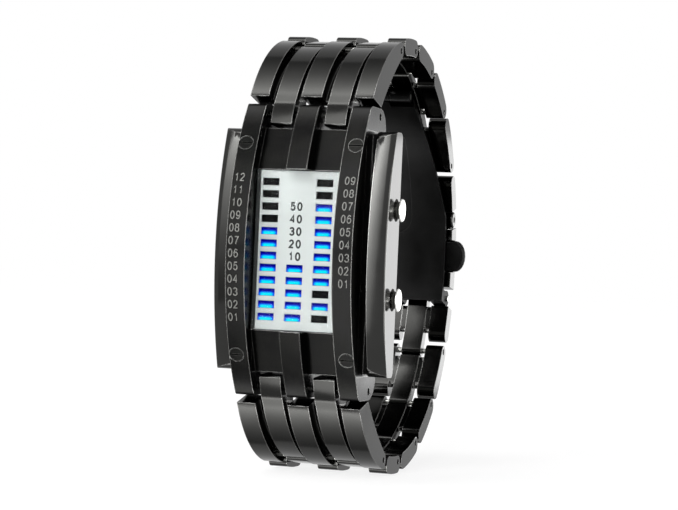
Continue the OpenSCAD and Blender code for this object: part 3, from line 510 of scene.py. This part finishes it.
def figures(name, rows, material, high, wide, pitch, line):
    """One mesh of flat figures; rows hold (text, place, up, front), sizes are in metres."""
    points, faces = [], []
    for text, place, up, front in rows:
        across = up.cross(front)
        for n, figure in enumerate(text):
            shift = (n - (len(text) - 1) / 2) * pitch
            for path in strokes[figure]:
                path = [Vector((shift + (x - 0.5) * (wide - line), (y - 0.5) * (high - line)))
                        for x, y in path]
                ring = (path[0] - path[-1]).length < 1e-7
                path = path[:-1] if ring else path
                count = len(path)
                first = len(points)
                for i, here in enumerate(path):
                    before = path[i - 1] if i or ring else here * 2 - path[1]
                    after = path[(i + 1) % count] if i < count - 1 or ring else (
                        here * 2 - path[i - 1])
                    a, b = (here - before).normalized(), (after - here).normalized()
                    mitre = (a + b).normalized()
                    reach = line / 2 / max(mitre.dot(a), 0.55)
                    for side in (1, -1):
                        q = here + Vector((-mitre.y, mitre.x)) * reach * side
                        points.append(place + across * q.x + up * q.y)
                for i in range(count if ring else count - 1):
                    k, m = first + 2 * i, first + 2 * ((i + 1) % count)
                    faces.append((k, k + 1, m + 1, m))
    mesh = bpy.data.meshes.new(name)
    mesh.from_pydata(points, [], faces)
    mesh.materials.append(material)
    o = bpy.data.objects.new(name, mesh)
    bpy.context.scene.collection.objects.link(o)
    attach(o, "case")


def paint(name, colour, rough):
    """Paint, ink or moulded plastic, whose colour varies in specks of a quarter millimetre."""
    material, tree = new_material(name)
    place = add(tree, "ShaderNodeTexCoord").outputs["Object"]
    fine = add(tree, "ShaderNodeTexNoise", {"Vector": place, "Scale": 4000, "Detail": 2})
    tint = add(tree, "ShaderNodeMix", {0: fine.outputs[0], 6: linear(colour[0]),
                                       7: linear(colour[1])}, data_type="RGBA")
    finish = add(tree, "ShaderNodeBsdfPrincipled", {"Base Color": tint.outputs[2],
                                                    "Roughness": rough})
    add(tree, "ShaderNodeOutputMaterial", {"Surface": finish.outputs[0]})
    return material


grey = paint("grey enamel fill", ("#5C5C59", "#6A6A66"), rough=0.5)
ink = paint("black screen ink", ("#0A0A0A", "#1A1A1A"), rough=0.55)


def on_rail(x, z, lift=0.00001):
    """Point, up and front at the height z of the rails' front curve, an arc about an X axis."""
    arc_centre, arc_radius = 0.0257, 0.04
    centre = Vector((x, arc_centre, 0))
    front = (Vector((x, arc_centre - math.sqrt(arc_radius ** 2 - z * z), z))
             - centre).normalized()
    up = front.cross(Vector((1, 0, 0))).normalized()
    if up.z < 0:
        up = -up
    return centre + front * (arc_radius + lift), up, front


# Each rail's place in X, the height of its top figures, their pitch down it and their count
for name, x, top, pitch, count in (("left_rail_numbers", -0.00935, 0.01156, 0.0020627, 12),
                                   ("right_rail_numbers", 0.0093, 0.01149, 0.0020575, 9)):
    rows = [(f"{count - i:02d}", *on_rail(x, top - i * pitch)) for i in range(count)]
    figures(name, rows, grey, high=0.00139, wide=0.00078, pitch=0.00097, line=0.00017)
x, plate_front, top, pitch = -0.00051, -0.009405, 0.00718, 0.00203
rows = [(f"{50 - 10 * i}", Vector((x, plate_front, top - i * pitch)),
         Vector((0, 0, 1)), Vector((0, -1, 0))) for i in range(5)]
figures("plate_numbers", rows, ink, high=0.00146, wide=0.00094, pitch=0.00116, line=0.0003)


# Push-buttons
# Turned stainless caps on stems, polished bright like small mirrors, and held by clips. Each
# spring, here and in the clasp's buttons, is wound from wire about 0.2 mm thick.
# Their edges are painted near white as a highlight
turned = steel("turned stainless steel, polished", ("#B4B4B0", "#C4C4C0"), rough=0.16,
               edge_highlight="#E0E0DC")
for name in ("upper_button", "lower_button"):
    dress(name, turned, edge=0.1)
# Its edges are painted a paler grey as a highlight
wire = steel("spring wire", ("#A0A09C", "#B0B0AC"), rough=0.25, edge_highlight="#D0D0CC")


def coil(name, node, turns, thick):
    """Helical spring along X in the place of the node's tube.

    Both end turns lie closed. outer, 1 where the button stands at the spring's high X end and
    -1 at its low one, is not used."""
    low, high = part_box(node)
    middle = (low + high) / 2
    radius = (high.y - low.y) / 2 - thick / 2
    x0, x1 = low.x + thick / 2, high.x - thick / 2
    mesh = bpy.data.meshes.new(name)
    steps, ring = turns * 20, 8     # points along the wire, and round it
    points, faces = [], []
    for i in range(steps + 1):
        t = i / steps
        closed = min(1, max(0, (t * turns - 1) / (turns - 2)))
        x = x0 + (x1 - x0) * (closed * (1 - 2 * thick / (x1 - x0))
                              + thick / (x1 - x0) * (min(t * turns, 1)
                                                     + max(0, t * turns - turns + 1)))
        a = 2 * math.pi * t * turns
        out = Vector((0, math.cos(a), math.sin(a)))
        for k in range(ring):
            b = 2 * math.pi * k / ring
            points.append(Vector((x, middle.y, middle.z)) + out * (
                radius + thick / 2 * math.cos(b)) + Vector((thick / 2 * math.sin(b), 0, 0)))
    for i in range(steps):
        for k in range(ring):
            a, b = i * ring + k, i * ring + (k + 1) % ring
            faces.append((a, b, b + ring, a + ring))
    faces.append(tuple(range(ring - 1, -1, -1)))
    faces.append(tuple(steps * ring + k for k in range(ring)))
    mesh.from_pydata(points, [], faces)
    mesh.polygons.foreach_set("use_smooth", [True] * len(mesh.polygons))
    mesh.materials.append(wire)
    o = bpy.data.objects.new(name, mesh)
    bpy.context.scene.collection.objects.link(o)
    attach(o, nodes[node]["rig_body"])
    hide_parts(node)
    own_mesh(o)


for part in ("upper", "lower"):
    coil(f"{part}_button_coil", f"{part}_button_spring", turns=4, thick=0.00022)
for part, outer in (("left", -1), ("right", 1)):
    coil(f"{part}_clasp_coil", f"{part}_clasp_spring", turns=5, thick=0.0002)
for name in ("upper_button_clip", "lower_button_clip"):
    dress(name, wire, edge=0)


# Display module
# Glass-fibre board with a satin green mask over its weave, white LED packages soldered to it,
# a black moulded holder, a steel coin cell and its sprung brass contact: all stand hidden
# between the plate and the back.
board, tree = new_material("glass-fibre board, green mask")
place = add(tree, "ShaderNodeTexCoord").outputs["Object"]
# Threads about 0.7 mm apart
weave = add(tree, "ShaderNodeTexBrick", {"Vector": place, "Scale": 1500,
                                         "Color1": linear("#0C4A26"),
                                         "Color2": linear("#0F5630"),
                                         "Mortar": linear("#0A3C20")})
finish = add(tree, "ShaderNodeBsdfPrincipled", {"Base Color": weave.outputs[0],
                                                "Roughness": 0.35})
add(tree, "ShaderNodeOutputMaterial", {"Surface": finish.outputs[0]})
dress("circuit_board", board, edge=0)
dress("led_chips", paint("white moulded LED body", ("#E8E6D8", "#F2F0E4"), rough=0.4), edge=0)
dress("module_holder", paint("black moulded ABS", ("#101010", "#181818"), rough=0.45),
      edge=0.1)
dress("battery", bare, edge=0.1)
dress("battery_contact", paint("sprung brass", ("#B0903C", "#BE9C46"), rough=0.3), edge=0)
